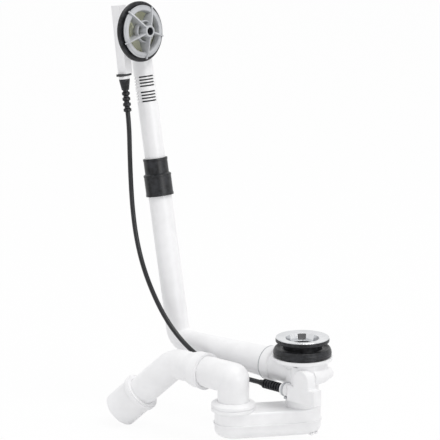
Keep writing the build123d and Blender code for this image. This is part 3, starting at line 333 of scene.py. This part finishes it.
def turned_copy(piece, turn):
    """Copy of a piece with its own mesh, turned about Z."""
    other = piece.copy()
    other.data = piece.data.copy()
    other.rotation_euler = (0, 0, turn)
    scene.collection.objects.link(other)
    settled(other)
    return other


def edit_all(piece):
    """Opens a piece in edit mode with all of it selected."""
    select_only(piece)
    bpy.ops.object.mode_set(mode="EDIT")
    bpy.ops.mesh.select_all(action="SELECT")


def outlined(outline_mm):
    """Closed outline in the XZ plane, as a new object."""
    piece = primitive(bpy.ops.mesh.primitive_circle_add, vertices=len(outline_mm), radius=1.0)
    for vertex, (x, z) in zip(piece.data.vertices, outline_mm):
        vertex.co = (x * MM, 0.0, z * MM)
    return piece


def turned(outline_mm):
    """Solid of revolution about Z, in the same order of faces each run."""
    piece = outlined(outline_mm)
    reshaped(
        piece, "SCREW", axis="Z", angle=2 * math.pi, steps=ROUND_STEPS, render_steps=ROUND_STEPS,
        use_merge_vertices=True, merge_threshold=MERGE_WITHIN,
    )
    edit_all(piece)
    bpy.ops.mesh.normals_make_consistent(inside=False)
    bpy.ops.object.mode_set(mode="OBJECT")
    return piece


def finished_piece(piece, name, body, finish, edge_mm=0.0):
    """Settles a modelled piece, rounds its edges, gives it its finish and lets it ride."""
    piece.name = name
    settled(piece)
    if edge_mm:
        reshaped(piece, "BEVEL", width=edge_mm * MM, segments=EDGE_STEPS)
    bpy.ops.object.shade_smooth_by_angle(angle=SMOOTH_BELOW)
    piece.data.materials.append(finish)
    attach(piece, body)


# Waste gasket: a thin lip under the flange, a dished groove and a flared skirt with two fine lines
GASKET_OUTLINE_MM = [
    (24.1, 0.0), (31.65, 0.0), (31.65, 2.6), (35.2, 2.6), (35.8, 1.6), (35.8, -1.8),
    (34.8, -3.0), (28.0, -3.6), (25.6, -4.6), (25.6, -12.0), (27.0, -13.4), (30.0, -13.6),
    (33.4, -12.2), (35.2, -10.4), (36.0, -10.0), (36.8, -10.4), (38.0, -12.6), (38.8, -15.0),
    (38.4, -15.7), (39.0, -16.4), (39.0, -17.8), (38.5, -18.4), (38.8, -19.0), (38.4, -20.8),
    (37.6, -22.0), (24.1, -22.0),
]
gasket = turned(GASKET_OUTLINE_MM)
finished_piece(gasket, "flared_waste_gasket", "waste", rubber, edge_mm=0.3)
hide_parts("waste_gasket")

# Spoked clamping flange: rim with a notch at each rib, hub, and ribs that run on over the rim.
# It is modelled with Z out of the bath wall and then placed in the head.
RIM_OUTLINE_MM = [
    (34.9, 7.65), (35.7, 8.2), (35.7, 9.3), (33.5, 9.3), (33.0, 10.3), (29.5, 11.3),
    (28.5, 10.8), (27.8, 9.2), (27.5, 6.6), (27.4, 2.4), (28.4, 2.4), (28.4, 7.65),
]
HUB_OUTLINE_MM = [(5.3, -3.1), (8.0, -3.1), (8.0, 22.9), (7.5, 23.4), (5.8, 23.4), (5.3, 22.9)]
RIB_OUTLINE_MM = [
    (6.6, -1.1), (27.9, 3.0), (27.9, 8.8), (33.5, 7.9), (37.7, 8.6), (37.7, 10.4),
    (35.4, 11.0), (34.2, 12.6), (6.6, 22.6),
]
RIB_COUNT = 5
RIB_T = 2.0 * MM
FIRST_RIB_DEG = -16.0
RIB_TURNS = [math.radians(FIRST_RIB_DEG + 360 * k / RIB_COUNT) for k in range(RIB_COUNT)]
NOTCH_SIZE = Vector((3.2, 5.0, 8.0)) * MM
NOTCH_MIDDLE = Vector((35.9, 0.0, 9.0)) * MM
notch = primitive(
    bpy.ops.mesh.primitive_cube_add, size=1.0, scale=NOTCH_SIZE, location=NOTCH_MIDDLE,
)
settled(notch)
rib = outlined(RIB_OUTLINE_MM)
edit_all(rib)
bpy.ops.mesh.edge_face_add()
bpy.ops.object.mode_set(mode="OBJECT")
reshaped(rib, "SOLIDIFY", thickness=RIB_T, offset=0.0)
flange = turned(RIM_OUTLINE_MM)
for turn in RIB_TURNS:
    combined(flange, turned_copy(notch, turn), "DIFFERENCE")
combined(flange, turned(HUB_OUTLINE_MM), "UNION")
for turn in RIB_TURNS:
    combined(flange, turned_copy(rib, turn), "UNION")
for pattern in (notch, rib):
    bpy.data.objects.remove(pattern)
place_in_head = Matrix((HEAD_ACROSS, HEAD_UP, HEAD_OUT)).transposed().to_4x4()
place_in_head.translation = HEAD_CENTRE
flange.matrix_world = place_in_head
finished_piece(flange, "spoked_clamping_flange", "overflow_head", flange_abs_painted_bore_shade)
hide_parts("overflow_flange")

# Stiffening ring that ties the flange's ribs together
RING_R = 15.2 * MM
RING_WALL = 1.8 * MM
RING_DEPTH = 6.0 * MM
RING_MIDDLE = 11.0 * MM
ring = primitive(
    bpy.ops.mesh.primitive_cylinder_add, vertices=ROUND_STEPS, radius=RING_R, depth=RING_DEPTH,
    end_fill_type="NOTHING", location=HEAD_CENTRE + HEAD_OUT * RING_MIDDLE,
    rotation=HEAD_OUT.to_track_quat("Z", "Y").to_euler(),
)
reshaped(ring, "SOLIDIFY", thickness=RING_WALL)
finished_piece(
    ring, "flange_stiffening_ring", "overflow_head", grey_abs, edge_mm=0.4,
)

# Gusset between the domed lever housing and the underside of the body's collar: a block with a
# slanted face, cut out below to sit on the dome
GUSSET_LOW = Vector((16.0, -27.2, -42.0)) * MM
GUSSET_HIGH = Vector((35.5, -10.0, -25.4)) * MM
GUSSET_FACE = Vector((23.0, -27.2, -30.0)) * MM
GUSSET_FACE_OUT = Vector((0.614, -0.791, 0.0))
DOME_AXIS = Vector((26.0, -20.0, -45.6)) * MM
DOME_CUT_R = 12.2 * MM
DOME_CUT_LENGTH = 40.0 * MM
dome_cut = primitive(
    bpy.ops.mesh.primitive_cylinder_add, vertices=ROUND_STEPS, radius=DOME_CUT_R,
    depth=DOME_CUT_LENGTH, location=DOME_AXIS, rotation=(math.pi / 2, 0.0, 0.0),
)
gusset = primitive(
    bpy.ops.mesh.primitive_cube_add, size=1.0,
    location=(GUSSET_LOW + GUSSET_HIGH) / 2, scale=GUSSET_HIGH - GUSSET_LOW,
)
settled(gusset)
edit_all(gusset)
bpy.ops.mesh.bisect(
    plane_co=GUSSET_FACE, plane_no=GUSSET_FACE_OUT, use_fill=True, clear_outer=True,
)
bpy.ops.object.mode_set(mode="OBJECT")
combined(gusset, dome_cut, "DIFFERENCE")
finished_piece(
    gusset, "collar_gusset", "waste", polypropylene, edge_mm=0.6,
)

# Bowden cable between the two boots: straight out of each, and along its hanging line between
CABLE_R = 3.25 * MM
BOOT_SIDE_MM = 16.6
BOOT_DROP_MM = 107.4
BOOT_BACK_MM = 19.6
UPPER_BOOT_END = HEAD_CENTRE + MM * (
    -BOOT_SIDE_MM * HEAD_ACROSS - BOOT_DROP_MM * HEAD_UP - BOOT_BACK_MM * HEAD_OUT
)
LOWER_BOOT_END = Vector((-52.0, -26.0, -64.0)) * MM
UPPER_STRAIGHT = HEAD_UP * 20 * MM
LOWER_STRAIGHT = Vector((22, 0, 0)) * MM
CABLE_ROUTE_MM = [
    (-284.7, -39.5, 216.0),
    (-284.5, -38.2, 178.0),
    (-282.6, -37.0, 139.0),
    (-277.0, -36.0, 100.0),
    (-265.6, -35.0, 62.0),
    (-248.0, -33.8, 27.0),
    (-225.5, -32.5, -5.0),
    (-197.5, -31.0, -31.0),
    (-166.0, -29.3, -49.0),
    (-132.0, -27.6, -59.5),
    (-100.0, -26.4, -63.4),
]
route = [UPPER_BOOT_END, UPPER_BOOT_END - UPPER_STRAIGHT]
route += [Vector(p) * MM for p in CABLE_ROUTE_MM]
route += [LOWER_BOOT_END - LOWER_STRAIGHT, LOWER_BOOT_END]

LINE_ORDER = 3
LINE_STEPS = 16
JACKET_STEPS = 7
line = bpy.data.curves.new("bowden_cable_line", "CURVE")
line.dimensions = "3D"
spline = line.splines.new("NURBS")
spline.points.add(len(route) - 1)
for point, place in zip(spline.points, route):
    point.co = (*place, 1.0)
spline.order_u = LINE_ORDER
spline.use_endpoint_u = True
spline.resolution_u = LINE_STEPS
line_object = bpy.data.objects.new("bowden_cable_line", line)
scene.collection.objects.link(line_object)
bpy.context.view_layer.update()
centre_mesh = bpy.data.meshes.new_from_object(line_object)
line.bevel_depth = CABLE_R
line.bevel_resolution = JACKET_STEPS
line.use_fill_caps = True
bpy.context.view_layer.update()
depsgraph = bpy.context.evaluated_depsgraph_get()
cable_mesh = bpy.data.meshes.new_from_object(line_object.evaluated_get(depsgraph))
cable = bpy.data.objects.new("bowden_cable_jacket", cable_mesh)
scene.collection.objects.link(cable)
bpy.data.objects.remove(line_object)
cable_mesh.materials.clear()
cable_mesh.materials.append(jacket)
for face in cable_mesh.polygons:
    face.use_smooth = True
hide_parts("bowden_cable")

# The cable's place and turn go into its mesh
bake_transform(cable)


def seen_directly(tree):
    """One where the eye, a mirror or glass looks at the surround, nought for its light."""
    path = add(tree, "ShaderNodeLightPath").outputs
    mirror = add(
        tree, "ShaderNodeMath", None, {0: path["Is Camera Ray"], 1: path["Is Glossy Ray"]},
        operation="MAXIMUM",
    )
    both = add(
        tree, "ShaderNodeMath", None, {0: mirror.outputs[0], 1: path["Is Transmission Ray"]},
        operation="MAXIMUM",
    )
    return both.outputs[0]


# Studio floor, pale and matt, just under the lowest piece; seen directly it is nearly white
FLOOR_HALF = 12.0
FLOOR_DROP = 1.0 * MM
FLOOR_SEEN = 0.94
floor = primitive(
    bpy.ops.mesh.primitive_plane_add, size=2 * FLOOR_HALF,
    location=(0, 0, cad_box[0].z - FLOOR_DROP),
)
floor.name = "studio_floor"
floor_material, tree, output = new_tree("painted_studio_floor")
matt = add(tree, "ShaderNodeBsdfDiffuse", {"Color": colour("#f4f4f4")})
glow = add(tree, "ShaderNodeEmission", {"Color": colour("#ffffff"), "Strength": 1.0})
share = add(
    tree, "ShaderNodeMath", {1: FLOOR_SEEN}, {0: seen_directly(tree)}, operation="MULTIPLY",
)
mixed = add(
    tree, "ShaderNodeMixShader", None,
    {0: share.outputs[0], 1: matt.outputs[0], 2: glow.outputs[0]},
)
tree.links.new(mixed.outputs[0], output.inputs["Surface"])
floor.data.materials.append(floor_material)

# Surround, white all round; bright plate and rubber mirror a small dark spot at the front and a
# lit panel beside it
DARK_SIDE = (0.671, -0.694, 0.259)
DARK_EDGE = 0.961
DARK_CORE = 0.988
DARK_LEVEL = 0.17
PANEL_SIDE = (0.994, -0.104, 0.03)
PANEL_EDGE = 0.92
PANEL_CORE = 0.985
PANEL_LEVEL = 5.0
SURROUND_LIGHT = 0.88
world = bpy.data.worlds.new("studio_surround")
scene.world = world
world.use_nodes = True
world.node_tree.nodes.clear()
tree = world.node_tree
place = add(tree, "ShaderNodeTexCoord").outputs["Generated"]
toward = add(
    tree, "ShaderNodeVectorMath", {1: DARK_SIDE}, {0: place}, operation="DOT_PRODUCT",
)
dim = add(
    tree, "ShaderNodeMapRange",
    {"From Min": DARK_EDGE, "From Max": DARK_CORE, "To Min": 1.0, "To Max": DARK_LEVEL},
    {"Value": toward.outputs["Value"]},
)
beside = add(
    tree, "ShaderNodeVectorMath", {1: PANEL_SIDE}, {0: place}, operation="DOT_PRODUCT",
)
panel = add(
    tree, "ShaderNodeMapRange",
    {"From Min": PANEL_EDGE, "From Max": PANEL_CORE, "To Min": 0.0, "To Max": PANEL_LEVEL},
    {"Value": beside.outputs["Value"]},
)
front = add(
    tree, "ShaderNodeMath", None, {0: dim.outputs["Result"], 1: panel.outputs["Result"]},
    operation="MAXIMUM",
)
eye = add(tree, "ShaderNodeLightPath").outputs["Is Camera Ray"]
level = add(
    tree, "ShaderNodeMath", None, {0: front.outputs[0], 1: eye}, operation="MAXIMUM",
)
seen = add(
    tree, "ShaderNodeBackground", {"Color": colour("#ffffff")}, {"Strength": level.outputs[0]},
)
light = add(
    tree, "ShaderNodeBackground", {"Color": colour("#f8f8f9"), "Strength": SURROUND_LIGHT},
)
pick = add(
    tree, "ShaderNodeMixShader", None,
    {0: seen_directly(tree), 1: light.outputs[0], 2: seen.outputs[0]},
)
add(tree, "ShaderNodeOutputWorld", None, {"Surface": pick.outputs[0]})

# Lamp: one large soft disc, high on the camera's right
LAMP_PLACE = Vector((1.0, 0.1, 2.7))
LAMP_AIM = Vector((-0.12, -0.03, 0.15))
LAMP_SIZE = 1.4
LAMP_WATTS = 26.0
lamp_data = bpy.data.lights.new("key_lamp", "AREA")
lamp_data.shape = "DISK"
lamp_data.size = LAMP_SIZE
lamp_data.energy = LAMP_WATTS
lamp_data.color = colour("#fffefb")[:3]
lamp = bpy.data.objects.new("key_lamp", lamp_data)
lamp.location = LAMP_PLACE
lamp.rotation_euler = (LAMP_AIM - LAMP_PLACE).to_track_quat("-Z", "Y").to_euler()
scene.collection.objects.link(lamp)
